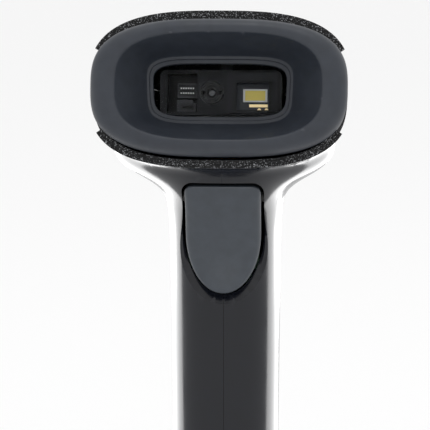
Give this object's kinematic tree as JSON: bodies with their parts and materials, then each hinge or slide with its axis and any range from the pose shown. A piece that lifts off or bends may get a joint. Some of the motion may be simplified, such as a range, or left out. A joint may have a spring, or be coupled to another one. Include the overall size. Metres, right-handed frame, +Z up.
{
  "type": "handheld barcode scanner",
  "caption": "Pistol-grip 2-D imaging barcode scanner: oval nose with a recessed window and imaging engine, split gloss handle, finger trigger and base socket.",
  "frame": {"origin": "middle of the handle's flat base", "axes": "+Z up the handle, nose towards -Y, +X to the right seen from the nose"},
  "size_m": [0.0623, 0.0795, 0.1696],
  "materials": {
    "gloss_shell": "high-gloss moulded black",
    "textured_cover": "fine spark-textured black",
    "bezel_grey": "satin blue-grey moulded",
    "trigger_grey": "satin grey moulded",
    "window_clear": "clear coated window",
    "seal_rubber": "soft black seal",
    "engine_black": "matt black engine moulding",
    "lens_metal": "black anodised",
    "lens_glass": "coated lens glass",
    "board_black": "black solder mask",
    "board_green": "green solder mask",
    "led_white": "white ceramic",
    "led_phosphor": "yellow phosphor",
    "gold": "gold plated",
    "chip_black": "moulded package",
    "tin_can": "tinned",
    "steel": "zinc plated",
    "flex_amber": "polyimide film",
    "sensor_glass": "silicon under glass",
    "light_lens": "milky light guide",
    "button_cream": "switch plunger",
    "base_black": "textured black"
  },
  "bodies": {
    "housing": {"left_shell": "gloss_shell", "right_shell": "gloss_shell", "shell_screws": "steel", "top_cover": "textured_cover", "chin_cover": "textured_cover", "status_light_lens": "light_lens", "nose_bezel": "bezel_grey", "window_gasket": "seal_rubber", "scan_window": "window_clear", "trigger_pin": "steel", "trigger_spring": "steel", "trigger_switch": "chip_black", "trigger_board": "board_green", "main_board": "board_green", "jack_board": "board_green", "board_chips": "chip_black", "shield_can": "tin_can", "beeper": "chip_black", "status_leds": "led_white", "engine_frame": "engine_black", "lens_barrel": "lens_metal", "lens_lock_ring": "lens_metal", "lens_glass": "lens_glass", "image_sensor": "sensor_glass", "sensor_board": "board_green", "illumination_board": "board_black", "white_led_body": "led_white", "white_led_phosphor": "led_phosphor", "led_gold_pads": "gold", "illumination_mask": "engine_black", "aimer_module": "chip_black", "board_connector": "chip_black", "connector_contacts": "tin_can", "engine_bracket": "steel", "engine_screws": "steel", "engine_flex": "flex_amber", "handle_ribbon": "flex_amber", "base_cap": "base_black", "base_screws": "steel", "base_seal": "seal_rubber", "cable_jack": "chip_black", "jack_contacts": "gold"},
    "trigger": {"trigger": "trigger_grey"},
    "switch_plunger": {"switch_plunger": "button_cream"}
  },
  "joints": [
    {"name": "trigger_pivot", "type": "hinge", "parent": "housing", "child": "trigger", "pos_m": [0, -0.017, 0.1205], "axis": [1, 0, 0], "range_deg": [0, 4], "stiffness_Nm_per_rad": 0.35, "springref_deg": -2.86, "deforming": ["trigger_spring"]},
    {"name": "plunger_slide", "type": "slide", "parent": "housing", "child": "switch_plunger", "axis": [0, 1, 0], "range_m": [0, 0.00095]}
  ],
  "couplings": [
    {"joint": "plunger_slide", "follows": "trigger_pivot", "m_per_rad": 0.0125}
  ]
}
